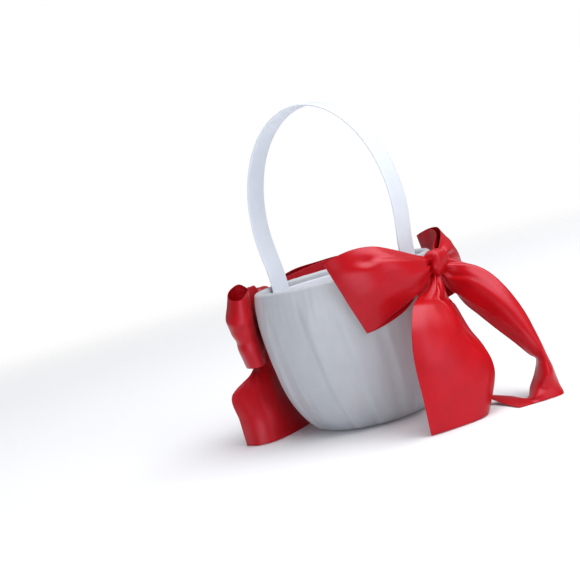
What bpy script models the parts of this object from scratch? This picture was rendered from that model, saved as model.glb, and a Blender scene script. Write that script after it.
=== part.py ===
"""Flower girl basket: satin covered basket, fixed band handle and a tied ribbon bow at each handle foot.

Units are metres, +Z is up and the basket stands on z = 0 with its axis on the world Z axis.
The handle runs along X; the right bow is at +X and the left bow at -X.
"""
import math

import bmesh
import bpy
from mathutils import Vector

MM = 0.001

# ---------------------------------------------------------------- driving dimensions (millimetres)
RIM_RADIUS = 76.0            # outside of the padded rim
BODY_HEIGHT = 124.0          # table to the top of the rim
COVER = 0.8                  # satin cover, turned in over the rim
PADDING = 1.5                # wadding at the rim; it grows to about 4 lower down
BOARD = 2.0                  # moulded board wall
LINING = 0.6                 # satin lining
GAP = 0.3                    # clearance between neighbouring pieces
TURN_IN_BOTTOM = 108.0       # lower edge of the cover where it is turned inside
BASE_RADIUS = 48.0           # board disc that closes the bottom
BASE_BOARD = 2.5
FLOOR_RADIUS = 46.3          # covered card disc laid inside

HANDLE_WIDTH = 24.0
HANDLE_SLEEVE = 0.5          # satin sleeve wall
HANDLE_CORE = 0.8            # stiff plastic strip
FOOT_X = 65.5                # middle of the band where it stands against the lining
ARCH_X = 70.0                # middle of the band at the spring of the arch
FOOT_BOTTOM = 90.0
RIM_LEVEL = 124.0
SPRING_LEVEL = 172.0
ARCH_TOP = 266.0             # middle of the band at the top

RIVET_SHANK = 4.0
RIVET_HEAD = 7.0
RIVET_HOLE = 4.8
RIVET_LEVEL = 98.0
RIVET_Y = 6.0

FLOOR_GAP = 0.8                # the middle of the cloth where a ribbon end lies on the floor
RIBBON_THICK = 0.6
RIBBON_WIDTH = 63.5
KNOT_X = 88.8                # middle of the knot, measured out from the axis
KNOT_Z = 115.0
KNOT_SIZE = (16.4, 21.0, 20.5)
FALL = math.radians(36.0)     # seen from above, the tails are laid out across and along this direction
UNDER_RIGHT_KNOT = (92.5, 0.0, 104.6)     # hinge lines of the tails run along Y through these
BESIDE_RIGHT_KNOT = (95.0, 0.0, 113.8)
UNDER_LEFT_KNOT = (-92.5, 0.0, 104.6)
SEGMENTS = 36                # facets round every turned piece

# Outside of the satin cover below the rim roll, radius then height, top to bottom.
SKIN = [(76.0, 121.0), (77.7, 111.0), (78.4, 97.0), (77.3, 79.0), (75.0, 60.0),
        (71.8, 41.0), (67.0, 26.0), (60.5, 13.5), (54.0, 5.0), (48.6, 0.9)]

# Outside of the board wall at the same places; it is nearly straight, the padding makes the bulge.
WALL = [(73.1, 120.6), (73.1, 111.0), (72.8, 97.0), (71.7, 79.0), (69.9, 60.0),
        (67.0, 41.5), (62.6, 27.5), (57.0, 16.0), (53.2, 9.0), (51.4, 5.2)]


# ---------------------------------------------------------------- scene set-up
def clear_scene():
    for obj in list(bpy.data.objects):
        bpy.data.objects.remove(obj, do_unlink=True)


def new_collection(name):
    collection = bpy.data.collections.new(name)
    bpy.context.scene.collection.children.link(collection)
    return collection


clear_scene()
bpy.context.scene.unit_settings.system = 'METRIC'
PART = new_collection("flower_girl_basket")
CUTTERS = new_collection("cutters")


# ---------------------------------------------------------------- materials
def make_material(name, colour, roughness, metallic=0.0, sheen=0.0):
    material = bpy.data.materials.new(name)
    material.use_nodes = True
    shader = material.node_tree.nodes["Principled BSDF"]
    shader.inputs["Base Color"].default_value = (*colour, 1.0)
    shader.inputs["Roughness"].default_value = roughness
    shader.inputs["Metallic"].default_value = metallic
    shader.inputs["Sheen Weight"].default_value = sheen
    material.diffuse_color = (*colour, 1.0)
    return material


def white_satin():
    return make_material("white_satin", (0.80, 0.81, 0.86), 0.42, sheen=0.3)


def lining_satin():
    return make_material("lining_satin", (0.84, 0.85, 0.89), 0.48, sheen=0.2)


def handle_satin():
    return make_material("handle_satin", (0.83, 0.86, 0.93), 0.40, sheen=0.2)


def red_satin():
    return make_material("red_satin", (0.58, 0.012, 0.022), 0.34, sheen=0.4)


def grey_board():
    return make_material("grey_board", (0.42, 0.40, 0.37), 0.9)


def wadding_fibre():
    return make_material("wadding_fibre", (0.86, 0.86, 0.84), 1.0)


def clear_plastic_strip():
    return make_material("plastic_strip", (0.70, 0.72, 0.74), 0.35)


def brass():
    return make_material("brass", (0.72, 0.53, 0.24), 0.30, metallic=1.0)


def hot_glue():
    return make_material("hot_glue", (0.78, 0.72, 0.55), 0.45)


# ---------------------------------------------------------------- small helpers
def finish(obj, material):
    for collection in list(obj.users_collection):
        collection.objects.unlink(obj)
    PART.objects.link(obj)
    obj.data.materials.clear()
    obj.data.materials.append(material)
    obj.data.shade_smooth()
    obj.data.set_sharp_from_angle(angle=math.radians(35.0))
    return obj


def offset_profile(profile, distance):
    """Move an open profile towards the axis by a distance measured square to it."""
    moved = []
    for i, (r, z) in enumerate(profile):
        r0, z0 = profile[max(i - 1, 0)]
        r1, z1 = profile[min(i + 1, len(profile) - 1)]
        length = math.hypot(r1 - r0, z1 - z0)
        moved.append((r + (z1 - z0) / length * distance, z - (r1 - r0) / length * distance))
    return moved


def turned(name, outline, material):
    """Turn a closed outline of (radius, height) about Z; it runs down its outer side first."""
    mesh = bpy.data.meshes.new(name)
    verts = [(r * MM, 0.0, z * MM) for r, z in outline]
    mesh.from_pydata(verts, [(i, (i + 1) % len(verts)) for i in range(len(verts))], [])
    obj = bpy.data.objects.new(name, mesh)
    screw = obj.modifiers.new("turn", 'SCREW')
    screw.axis = 'Z'
    screw.angle = math.tau
    screw.steps = SEGMENTS
    screw.render_steps = SEGMENTS
    screw.use_merge_vertices = True
    screw.merge_threshold = 0.00001
    return finish(obj, material)


def disc(name, radius, bottom, top, material):
    bpy.ops.mesh.primitive_cylinder_add(
        vertices=SEGMENTS, radius=radius * MM, depth=(top - bottom) * MM,
        location=(0.0, 0.0, 0.5 * (top + bottom) * MM))
    obj = bpy.context.object
    obj.name = name
    return finish(obj, material)


def cutter(name, radius, x_from, x_to, y, z):
    bpy.ops.mesh.primitive_cylinder_add(
        vertices=16, radius=radius * MM, depth=abs(x_to - x_from) * MM,
        location=(0.5 * (x_from + x_to) * MM, y * MM, z * MM), rotation=(0.0, math.pi / 2, 0.0))
    obj = bpy.context.object
    obj.name = name
    for collection in list(obj.users_collection):
        collection.objects.unlink(obj)
    CUTTERS.objects.link(obj)
    obj.hide_render = True
    obj.display_type = 'WIRE'
    return obj


def cut(obj, tool):
    hole = obj.modifiers.new("hole_" + tool.name, 'BOOLEAN')
    hole.operation = 'DIFFERENCE'
    hole.solver = 'EXACT'
    hole.object = tool


# ---------------------------------------------------------------- basket body
def rim_roll(thickness):
    """Half round over the rim, from the inner side to the outer side, in a given inset."""
    centre_r, centre_z = 73.0, 121.0
    radius = 3.0 - thickness
    return [(centre_r - radius * math.cos(a), centre_z + radius * math.sin(a))
            for a in (math.radians(step) for step in (0, 45, 90, 135))]


def outer_cover(material):
    outside = SKIN[:]
    inside = offset_profile(SKIN, COVER)
    inside[0] = (RIM_RADIUS - COVER, 121.0)
    outline = outside + inside[::-1]
    outline += rim_roll(COVER)[::-1]
    outline += [(70.8, TURN_IN_BOTTOM), (70.0, TURN_IN_BOTTOM)]
    outline += rim_roll(0.0)
    return turned("outer_cover", outline, material)


def wall_wadding(material):
    outside = offset_profile(SKIN, COVER + GAP)[:-1]
    inside = offset_profile(WALL, -GAP)[:-1]
    outside[0] = (RIM_RADIUS - COVER - GAP, 120.6)
    return turned("wall_wadding", outside + inside[::-1], material)


def wall_shell(material):
    return turned("wall_shell", WALL + offset_profile(WALL, BOARD)[::-1], material)


def lining_wall(material):
    outside = offset_profile(WALL, BOARD + COVER + 2 * GAP)
    inside = offset_profile(WALL, BOARD + COVER + 2 * GAP + LINING)
    outside[0] = (69.7, 119.0)
    inside[0] = (69.1, 119.0)
    return turned("lining_wall", outside + inside[::-1], material)


def base_pieces(cover_material, board_material, lining_material):
    disc("base_cover", 47.3, 0.0, COVER, cover_material)
    disc("base_board", BASE_RADIUS, 2.1, 2.1 + BASE_BOARD, board_material)
    disc("inner_floor_board", FLOOR_RADIUS, 4.9, 6.1, board_material)
    disc("inner_floor_cover", FLOOR_RADIUS, 6.4, 7.0, lining_material)


# ---------------------------------------------------------------- handle
def handle_line():
    """Middle line of the band in the XZ plane, from the left foot over the arch to the right foot."""
    leg = [(FOOT_X, z) for z in (FOOT_BOTTOM, 102.0, 114.0, RIM_LEVEL)]
    for step in range(1, 5):
        t = step / 4
        leg.append((FOOT_X + (ARCH_X - FOOT_X) * (0.5 - 0.5 * math.cos(math.pi * t)),
                    RIM_LEVEL + (SPRING_LEVEL - RIM_LEVEL) * t))
    rise = ARCH_TOP - SPRING_LEVEL
    arch = [(ARCH_X * math.cos(math.pi * k / 18), SPRING_LEVEL + rise * math.sin(math.pi * k / 18))
            for k in range(1, 18)]
    return [(-x, z) for x, z in leg] + [(-x, z) for x, z in arch] + leg[::-1]


def swept_band(name, line, half_width, half_thick, capped):
    """Sweep a flat rectangle along a line in the XZ plane and return it as a mesh object."""
    section_data = bpy.data.curves.new(name + "_section", 'CURVE')
    section_data.dimensions = '2D'
    outline = section_data.splines.new('POLY')
    outline.points.add(3)
    outline.use_cyclic_u = True
    corners = ((-1, -1), (1, -1), (1, 1), (-1, 1))
    for point, (x, y) in zip(outline.points, corners):
        point.co = (x * half_thick * MM, y * half_width * MM, 0.0, 1.0)
    section = bpy.data.objects.new(name + "_section", section_data)

    path_data = bpy.data.curves.new(name + "_path", 'CURVE')
    path_data.dimensions = '3D'
    path_data.twist_mode = 'Z_UP'
    spline_path = path_data.splines.new('POLY')
    spline_path.points.add(len(line) - 1)
    for point, (x, z) in zip(spline_path.points, line):
        point.co = (x * MM, z * MM, 0.0, 1.0)
    path_data.bevel_mode = 'OBJECT'
    path_data.bevel_object = section
    path_data.use_fill_caps = capped
    path = bpy.data.objects.new(name + "_path", path_data)
    path.rotation_euler = (math.pi / 2, 0.0, 0.0)
    for helper in (section, path):
        CUTTERS.objects.link(helper)
    bpy.context.view_layer.update()

    swept = path.evaluated_get(bpy.context.evaluated_depsgraph_get())
    mesh = bpy.data.meshes.new_from_object(swept)
    edit = bmesh.new()
    edit.from_mesh(mesh)
    bmesh.ops.remove_doubles(edit, verts=edit.verts, dist=0.00001)
    bmesh.ops.recalc_face_normals(edit, faces=edit.faces)
    edit.to_mesh(mesh)
    edit.free()
    obj = bpy.data.objects.new(name, mesh)
    obj.matrix_world = path.matrix_world
    bpy.data.objects.remove(path, do_unlink=True)
    bpy.data.objects.remove(section, do_unlink=True)
    return obj


def handle_core(material):
    half_width = HANDLE_WIDTH / 2 - HANDLE_SLEEVE - GAP
    line = handle_line()
    line[0] = (line[0][0], FOOT_BOTTOM + 0.8)
    line[-1] = (line[-1][0], FOOT_BOTTOM + 0.8)
    return finish(swept_band("handle_core", line, half_width, HANDLE_CORE / 2, True), material)


def handle_cover(material):
    half_thick = HANDLE_CORE / 2 + GAP + HANDLE_SLEEVE
    obj = swept_band("handle_cover", handle_line(), HANDLE_WIDTH / 2, half_thick, False)
    wall = obj.modifiers.new("sleeve", 'SOLIDIFY')
    wall.thickness = HANDLE_SLEEVE * MM
    wall.offset = -1.0
    wall.use_even_offset = True
    return finish(obj, material)


def rivet(name, side, y, material):
    """Tubular rivet along X: head against the handle foot, clenched end behind the board wall."""
    inner = FOOT_X - HANDLE_CORE / 2 - GAP - HANDLE_SLEEVE - GAP
    outer = 73.1
    shank, head = RIVET_SHANK / 2, RIVET_HEAD / 2
    outline = [(0.0, inner - 1.0), (head - 0.4, inner - 1.0), (head, inner - 0.5), (head, inner),
               (shank, inner), (shank, outer), (head - 0.6, outer), (head - 0.6, outer + 0.7),
               (0.0, outer + 0.7)]
    mesh = bpy.data.meshes.new(name)
    verts = [(r * MM, 0.0, h * MM) for r, h in outline[::-1]]
    mesh.from_pydata(verts, [(i, i + 1) for i in range(len(verts) - 1)], [])
    obj = bpy.data.objects.new(name, mesh)
    screw = obj.modifiers.new("turn", 'SCREW')
    screw.axis = 'Z'
    screw.angle = math.tau
    screw.steps = 12
    screw.render_steps = 12
    screw.use_merge_vertices = True
    screw.merge_threshold = 0.00001
    obj.rotation_euler = (0.0, side * math.pi / 2, 0.0)
    obj.location = (0.0, y * MM, RIVET_LEVEL * MM)
    return finish(obj, material)


def fix_handle(holed, padded, material):
    """Two rivets in each foot, with clearance holes through everything they pass."""
    for side, side_name in ((1, "right"), (-1, "left")):
        for y, end_name in ((-RIVET_Y, "front"), (RIVET_Y, "back")):
            label = side_name + "_foot_" + end_name
            rivet(label + "_rivet", side, y, material)
            hole = cutter(label + "_hole", RIVET_HOLE / 2, side * 60.0, side * 73.6, y, RIVET_LEVEL)
            pocket = cutter(label + "_pocket", 4.4, side * 71.0, side * 74.8, y, RIVET_LEVEL)
            for obj in holed:
                cut(obj, hole)
            cut(padded, pocket)


# ---------------------------------------------------------------- ribbon
def spline(points, t):
    """Catmull-Rom through equally spaced control points, t from 0 to 1."""
    span = len(points) - 1
    u = min(max(t, 0.0), 1.0) * span
    i = min(int(u), span - 1)
    f = u - i
    a, b = points[max(i - 1, 0)], points[i]
    c, d = points[i + 1], points[min(i + 2, span)]
    return 0.5 * (2 * b + (c - a) * f + (2 * a - 5 * b + 4 * c - d) * f ** 2
                  + (3 * b - a - 3 * c + d) * f ** 3)


def ribbon(name, rows, along, across, origin, material):
    """Bend a flat grid so that it follows rows of control points, then give it the cloth thickness."""
    bpy.ops.mesh.primitive_grid_add(x_subdivisions=along, y_subdivisions=across, size=1.0)
    obj = bpy.context.object
    obj.name = name
    obj.location = Vector(origin) * MM
    for vertex in obj.data.vertices:
        t, s = vertex.co.x + 0.5, vertex.co.y + 0.5
        row = [spline(column, t) for column in zip(*rows)]
        point = spline(row, s)
        point.z = max(point.z, FLOOR_GAP)
        vertex.co = (point - Vector(origin)) * MM
    cloth = obj.modifiers.new("cloth", 'SOLIDIFY')
    cloth.thickness = RIBBON_THICK * MM
    cloth.offset = 0.0
    return finish(obj, material)


def loop_rows(stops, bow_angle):
    """Rows across a bow loop, in cylinder coordinates round the basket. Each stop: angle from the bow and height of
    the bottom edge, angle and height of the top edge, then five radii from the bottom edge to the top edge."""
    rows = []
    for low_angle, low, top_angle, top, radii in stops:
        row = []
        for k, radius in enumerate(radii):
            share = k / (len(radii) - 1)
            a = math.radians(bow_angle + low_angle + (top_angle - low_angle) * share)
            row.append(Vector((radius * math.cos(a), radius * math.sin(a), low + (top - low) * share)))
        rows.append(row)
    return rows


def tail_rows(table):
    """Rows of (across, forward, height), laid out along the direction in which the tails fall, as points."""
    across = Vector((math.cos(FALL), math.sin(FALL), 0.0))
    forward = Vector((math.sin(FALL), -math.cos(FALL), 0.0))
    return [[across * u + forward * f + Vector((0.0, 0.0, z)) for u, f, z in row] for row in table]


RIGHT_FRONT_LOOP = [
    (-8.6, 107, -8.6, 122, (84.6, 84.6, 84.6, 84.6, 84.6)),
    (-14, 98, -15, 126, (81, 81, 81, 81, 80.5)),
    (-25.5, 87.5, -28.5, 130, (80.3, 80.3, 80.3, 80.2, 79)),
    (-37, 82, -45, 134.5, (80.2, 80.2, 80.2, 80.2, 79)),
    (-47, 79, -57, 137, (80.8, 80.8, 80.8, 80.5, 79.6)),
    (-52.2, 78.6, -65, 138, (83.2, 84.5, 85.5, 84.8, 82.6)),
    (-46.5, 81, -58.5, 141.5, (87, 91, 92, 90.5, 85.8)),
    (-38.5, 87.5, -48.5, 143.5, (90, 95.5, 97, 95, 85.5)),
    (-30.5, 93, -37.5, 141.5, (92.5, 97.5, 99.2, 97, 84.5)),
    (-22.5, 97.5, -26.5, 135, (93, 97, 98.6, 96, 83.5)),
    (-14.5, 102, -16, 127, (89.5, 92.5, 93.5, 92, 86)),
    (-8.6, 107, -8.6, 122, (87.5, 87.8, 88, 87.8, 87.5)),
]

RIGHT_BACK_LOOP = [
    (8.6, 107, 8.6, 122, (84.6, 84.6, 84.6, 84.6, 84.6)),
    (14, 97, 15, 128, (81, 81, 81, 81.3, 82.5)),
    (28, 85, 29, 134.5, (80.3, 80.3, 80.5, 82.5, 84.3)),
    (43, 79, 45, 138, (80.2, 80.2, 80.6, 83.6, 85)),
    (54, 76, 56, 137, (80.6, 80.6, 80.8, 82.8, 83)),
    (60.5, 74.5, 63, 134.5, (83.4, 84, 84.5, 84.2, 82.8)),
    (55, 75.5, 57, 137.5, (88, 90, 90, 88.4, 86.4)),
    (45.5, 79.5, 48, 139, (91, 96.5, 96.8, 93.4, 88)),
    (36, 84.5, 38.5, 138.5, (91, 98.5, 99, 95, 88.4)),
    (26, 91.5, 27.5, 135, (91.5, 96, 97, 94.8, 87.8)),
    (16, 99.5, 16.5, 129, (90, 92.5, 93.5, 92.5, 87)),
    (8.6, 107, 8.6, 122, (87.5, 87.8, 88, 87.8, 87.5)),
]

LEFT_FRONT_LOOP = [
    (8.6, 107, 8.6, 122, (84.6, 84.6, 84.6, 84.6, 84.6)),
    (12, 98, 12, 129, (81, 81, 81, 81, 81)),
    (22, 84, 22, 130, (80.5, 80.5, 80.5, 80.5, 80.5)),
    (33, 72.5, 33, 131, (81, 81, 81, 80.6, 79.6)),
    (42, 67, 42.5, 129, (82, 82.5, 82.5, 81.8, 80.4)),
    (46, 65.5, 47.5, 124, (87, 88.5, 89, 88.6, 87.6)),
    (42.5, 65.5, 43.5, 124.5, (94.5, 97.5, 99, 98.5, 95)),
    (34, 66.5, 34.5, 128, (98.5, 101, 103.3, 103, 98)),
    (23.5, 74, 23.5, 131.5, (98, 101, 103, 102.5, 98)),
    (13, 91.5, 13, 133.5, (93.5, 94.5, 95.5, 96, 95.5)),
    (8.6, 107, 8.6, 122, (87.5, 87.8, 88, 87.8, 87.5)),
]

LEFT_BACK_LOOP = [
    (-8.6, 107, -8.6, 122, (84.6, 84.6, 84.6, 84.6, 84.6)),
    (-14, 98, -14, 126, (81, 81, 81, 81, 80.5)),
    (-26, 84, -28, 129, (80.3, 80.3, 80.3, 80.2, 79.5)),
    (-39, 74, -43.5, 131.5, (80.2, 80.2, 80.2, 80.2, 79)),
    (-48, 70.5, -55.5, 132, (80.8, 80.8, 80.8, 80.6, 80)),
    (-53.5, 70, -62, 131.5, (83.2, 84.5, 85, 84.5, 83)),
    (-48, 71, -56.5, 133, (88, 91, 91.5, 89, 83.5)),
    (-38.5, 76, -44.5, 132.5, (91, 95.5, 96.5, 94, 85)),
    (-26, 86, -29, 131.5, (92, 96, 97.5, 95, 88)),
    (-14.5, 99, -15, 126.5, (90.5, 92.8, 94, 93, 89.5)),
    (-8.6, 107, -8.6, 122, (87.5, 87.8, 88, 87.8, 87.5)),
]

RIGHT_FRONT_TAIL = [
    [(63.5, 57, 104), (65, 59.5, 104), (66.5, 61, 104), (68, 61, 104), (69.5, 60, 103.5), (71, 58, 103.5),
     (72.5, 55, 103.5)],
    [(54, 69, 99.5), (58.5, 72, 99), (62.5, 73.5, 97.5), (65.5, 73, 95.5), (68.5, 70, 93), (71.5, 63.5, 90.5),
     (73, 56.5, 88.5)],
    [(46.5, 84, 94.5), (50.5, 86.5, 93.5), (55, 87, 92), (60, 85, 90.5), (64.8, 80.5, 88.5), (69.5, 71, 85.5),
     (74.5, 61.5, 83.5)],
    [(40, 101, 91.5), (46.5, 101, 90), (53.5, 98.5, 88), (60.5, 94, 86), (67, 86, 84), (72.5, 70.5, 80.5), (77.5, 58, 78)],
    [(33, 117, 78), (42, 116.5, 76), (51, 113.5, 73.5), (60, 109, 71.5), (69, 102, 69), (76, 85.5, 66), (80.5, 70, 64)],
    [(28, 126, 56), (38, 125, 55), (49, 122, 53.5), (60, 117.5, 52), (70, 111.5, 50.5), (79, 104, 49), (85, 95, 48.5)],
    [(27, 129, 28), (37, 128, 28), (47.5, 125.5, 28), (58.5, 122, 28), (69, 117.5, 28), (79, 112, 28.5),
     (86.5, 104.5, 29)],
    [(26, 130, 1), (35.5, 129, 1), (45, 126.5, 1), (55, 123.5, 1), (64.5, 119.5, 1), (72, 113, 1),
     (76, 104.5, 2.5)],
]

RIGHT_SIDE_TAIL = [
    [(85.5, 47, 110.5), (86.5, 51.5, 112), (87, 56, 110.5), (86.2, 59, 106), (85, 60.5, 100.5), (83.5, 59.5, 94),
     (82, 56, 88), (81.5, 50.5, 86.5)],
    [(90, 44, 103), (94, 51, 107.5), (95.5, 57.5, 107.5), (94, 64, 103), (91.5, 67.5, 97), (89, 68, 90),
     (86.5, 63.5, 83.5), (84.5, 55, 78.5)],
    [(99, 49, 92), (105, 56, 97.5), (107, 63, 98), (105.3, 71, 93.5), (102, 77, 87), (99, 78, 80), (95.5, 73, 73),
     (92, 64, 67.5)],
    [(107, 56, 77), (114, 63.5, 82.5), (116, 71, 83), (114.5, 80.5, 79), (111, 86, 73), (107.5, 86.5, 67),
     (103.8, 82, 61), (100, 73.5, 56)],
    [(113, 65, 61), (120.5, 71.5, 65.5), (122.8, 79, 65.5), (122, 88.5, 61.5), (119.5, 93.5, 56.5), (116.5, 95, 51),
     (113.5, 92, 46.5), (110, 84.5, 42.5)],
    [(119.5, 67, 46), (125.4, 78, 48), (126.5, 87.5, 47), (126, 95, 44), (124.5, 99.5, 40.5), (122, 100, 37),
     (119, 96.5, 33.5), (117.8, 89, 31.5)],
    [(122.5, 70, 33), (127.5, 82, 32), (129.2, 92, 31), (128, 100.5, 29.5), (125.5, 105.5, 28), (122.8, 103.5, 27),
     (121.4, 96.5, 26.5), (122.5, 86, 26.5)],
    [(130.6, 96, 19), (130.4, 102, 18.6), (127.8, 108.5, 17.8), (123.5, 111.5, 17.2), (119.5, 109.5, 16.8),
     (117.8, 104, 16.6), (117.8, 97, 16.6), (118.8, 90, 17)],
    [(131.8, 106.5, 1.5), (129, 108.5, 3), (126, 109.8, 5.2), (122.5, 110.5, 7.2), (119, 110, 8.6), (115.5, 108, 9.2),
     (113, 103.5, 9), (112.5, 94, 8.8)],
    [(119.5, 113, 1), (117.5, 113.5, 1.6), (115.3, 113.5, 2.6), (113, 113.3, 3.3), (110.8, 113, 3.7),
     (108.6, 112, 3.7), (106.6, 108, 3), (106.5, 97, 1.4)],
    [(106.5, 115, 1), (105, 113.5, 1), (103.6, 111.5, 1.3), (102.2, 108.5, 1.8), (101, 104.5, 2.4), (99.8, 99, 3),
     (98.5, 92, 3.2), (97, 83, 3)],
    [(95.5, 116, 1), (93.5, 111, 1), (91.5, 105.5, 1), (89.5, 100, 1.5), (87, 94, 2.4), (84.3, 87.5, 3.6),
     (81.5, 81, 5.2), (78.5, 73.5, 7.5)],
]

LEFT_FRONT_TAIL = [
    [(-75, -42, 104), (-75.5, -44, 104), (-76, -46.5, 104), (-76, -49, 104), (-75.5, -51.5, 104), (-75, -54, 104)],
    [(-79.5, -42, 95), (-78.5, -45, 95.5), (-77, -48, 95.5), (-75, -50.5, 95.5), (-73, -53, 95.5), (-70, -56.5, 95)],
    [(-84.5, -34, 82), (-84.5, -38, 82.5), (-82.5, -42, 82.5), (-79.5, -46, 82.5), (-76, -50, 82.5), (-72.5, -54, 82)],
    [(-89, -20.5, 69.5), (-89, -27, 70), (-86.5, -33, 70.5), (-83.5, -39, 70.5), (-80, -44.5, 70.5), (-75.5, -51, 70)],
    [(-96.5, -6.5, 58.5), (-93.5, -11, 59), (-90.5, -17.5, 59), (-87, -25, 59), (-83, -33, 59), (-79, -43, 59.5)],
    [(-117, -8, 44), (-105, -4, 44), (-93, -4, 45), (-83, -11, 45), (-78, -22, 45), (-76, -34, 46)],
    [(-116, -8, 22), (-106, 2, 22), (-95, 5, 22), (-84, 1, 22), (-75, -11, 22), (-67.5, -27, 23)],
    [(-115, -5, 1), (-105.5, 6, 1), (-93, 8, 1), (-81, 1, 1), (-69, -12, 1), (-58, -28, 1)],
]

LEFT_REAR_TAIL = [
    [(-62, -62, 104), (-64, -62.5, 104), (-66, -62.5, 104), (-68.5, -61.5, 104), (-71, -60, 104),
     (-73, -58, 104)],
    [(-50, -68, 86), (-56, -71, 85), (-62, -72.5, 85), (-68, -71.5, 85), (-73, -68, 86), (-76, -62.5, 87)],
    [(-40, -80, 63), (-49, -85, 62), (-59, -87, 62), (-69, -84.5, 62), (-77.5, -78.5, 63), (-83, -70, 64)],
    [(-34, -86, 40), (-44, -93, 39), (-56, -97, 40), (-69, -94, 40), (-79.5, -87, 40), (-86, -76, 41)],
    [(-29, -86, 18), (-38, -95, 18), (-50, -100.5, 18), (-64, -98.5, 18), (-76, -91, 18), (-84, -79, 18)],
    [(-24, -86, 1), (-32, -95, 1), (-43, -101, 1), (-56, -100, 1), (-68, -94, 1), (-77, -84, 1)],
]


def knot(name, side, material):
    """Band of ribbon pulled round the middle of the bow."""
    bpy.ops.mesh.primitive_cube_add(size=1.0, location=(side * KNOT_X * MM, 0.0, KNOT_Z * MM))
    obj = bpy.context.object
    obj.name = name
    obj.scale = [side * MM for side in KNOT_SIZE]
    bpy.ops.object.transform_apply(location=False, rotation=False, scale=True)
    edges = obj.modifiers.new("edges", 'BEVEL')
    edges.width = 3.0 * MM
    edges.segments = 1
    smooth = obj.modifiers.new("round", 'SUBSURF')
    smooth.levels = 1
    smooth.render_levels = 1
    return finish(obj, material)


def glue_pad(name, side, material):
    """Hot melt pad that holds the knot on the cover below the rim."""
    bpy.ops.mesh.primitive_cylinder_add(
        vertices=20, radius=4.5 * MM, depth=0.8 * MM,
        location=(side * 79.1 * MM, 0.0, 112.0 * MM), rotation=(0.0, math.pi / 2, 0.0))
    obj = bpy.context.object
    obj.name = name
    return finish(obj, material)


def bow(side_name, side, loops, tails, ribbon_material, glue_material):
    """Each tail has its origin on the line it swings about, where it leaves the knot."""
    knot(side_name + "_knot", side, ribbon_material)
    glue_pad(side_name + "_glue_pad", side, glue_material)
    middle = (side * KNOT_X, 0.0, KNOT_Z)
    for name, stops in loops:
        rows = loop_rows(stops, 90.0 - 90.0 * side)
        ribbon(side_name + "_" + name, rows, 22, 7, middle, ribbon_material)
    for name, table, hinge in tails:
        ribbon(side_name + "_" + name, tail_rows(table), 18, 7, hinge, ribbon_material)


# ---------------------------------------------------------------- assembly
def build():
    satin, board, lining = white_satin(), grey_board(), lining_satin()
    shell = wall_shell(board)
    wadding = wall_wadding(wadding_fibre())
    inner = lining_wall(lining)
    outer_cover(satin)
    base_pieces(satin, board, lining)
    core = handle_core(clear_plastic_strip())
    sleeve = handle_cover(handle_satin())
    fix_handle((shell, inner, core, sleeve), wadding, brass())
    red, glue = red_satin(), hot_glue()
    bow("right", 1,
        (("front_loop", RIGHT_FRONT_LOOP), ("back_loop", RIGHT_BACK_LOOP)),
        (("front_tail", RIGHT_FRONT_TAIL, UNDER_RIGHT_KNOT),
         ("side_tail", RIGHT_SIDE_TAIL, BESIDE_RIGHT_KNOT)),
        red, glue)
    bow("left", -1,
        (("front_loop", LEFT_FRONT_LOOP), ("back_loop", LEFT_BACK_LOOP)),
        (("front_tail", LEFT_FRONT_TAIL, UNDER_LEFT_KNOT),
         ("rear_tail", LEFT_REAR_TAIL, UNDER_LEFT_KNOT)),
        red, glue)


build()
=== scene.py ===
"""Looks of the flower girl basket: padded satin body, satin band handle, tied red ribbon bows.

Tables are in millimetres in the row frame: basket axis on Z, floor at z = 0, handle along X.
"""
import math

import bmesh
import bpy
import numpy as np
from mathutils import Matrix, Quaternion, Vector


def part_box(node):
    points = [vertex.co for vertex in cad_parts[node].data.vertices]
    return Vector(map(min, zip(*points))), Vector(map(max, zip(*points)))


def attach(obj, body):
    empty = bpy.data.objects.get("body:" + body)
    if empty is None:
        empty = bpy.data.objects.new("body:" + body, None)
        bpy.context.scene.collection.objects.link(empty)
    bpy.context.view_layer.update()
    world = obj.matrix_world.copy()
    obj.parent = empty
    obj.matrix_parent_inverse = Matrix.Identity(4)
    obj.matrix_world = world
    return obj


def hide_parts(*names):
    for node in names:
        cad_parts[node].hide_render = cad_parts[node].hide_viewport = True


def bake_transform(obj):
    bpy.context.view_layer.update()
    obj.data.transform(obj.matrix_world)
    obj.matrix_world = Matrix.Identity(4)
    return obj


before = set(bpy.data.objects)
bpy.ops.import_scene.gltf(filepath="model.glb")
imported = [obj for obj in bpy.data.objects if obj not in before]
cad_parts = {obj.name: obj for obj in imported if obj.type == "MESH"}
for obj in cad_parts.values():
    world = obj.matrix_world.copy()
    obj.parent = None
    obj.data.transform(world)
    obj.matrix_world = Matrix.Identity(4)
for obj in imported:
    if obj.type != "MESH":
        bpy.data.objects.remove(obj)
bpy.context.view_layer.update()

MM = 0.001
TAU = math.tau

# ---------------------------------------------------------------- camera
# The photograph was taken from the front right, a little above the rim, and it is tilted.
AZIMUTH, ELEVATION, DISTANCE = 35.976, 4.2243, 0.91465
AIM = (-0.0563, 0.0, 0.11746)
TILT = -15.0
FOCAL_SHARE = 1.80900           # focal length over the sensor's width


def make_camera():
    data = bpy.data.cameras.new("camera")
    data.sensor_width = 36.0
    data.lens = FOCAL_SHARE * data.sensor_width
    data.clip_start, data.clip_end = 0.02, 50.0
    camera = bpy.data.objects.new("camera", data)
    bpy.context.scene.collection.objects.link(camera)
    a, e = math.radians(AZIMUTH), math.radians(ELEVATION)
    back = Vector((math.sin(a) * math.cos(e), -math.cos(a) * math.cos(e), math.sin(e)))
    camera.location = Vector(AIM) + back * DISTANCE
    camera.rotation_mode = 'QUATERNION'
    upright = (-back).to_track_quat('-Z', 'Y')
    camera.rotation_quaternion = upright @ Quaternion((0, 0, 1), math.radians(TILT))
    bpy.context.scene.camera = camera


make_camera()


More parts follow.
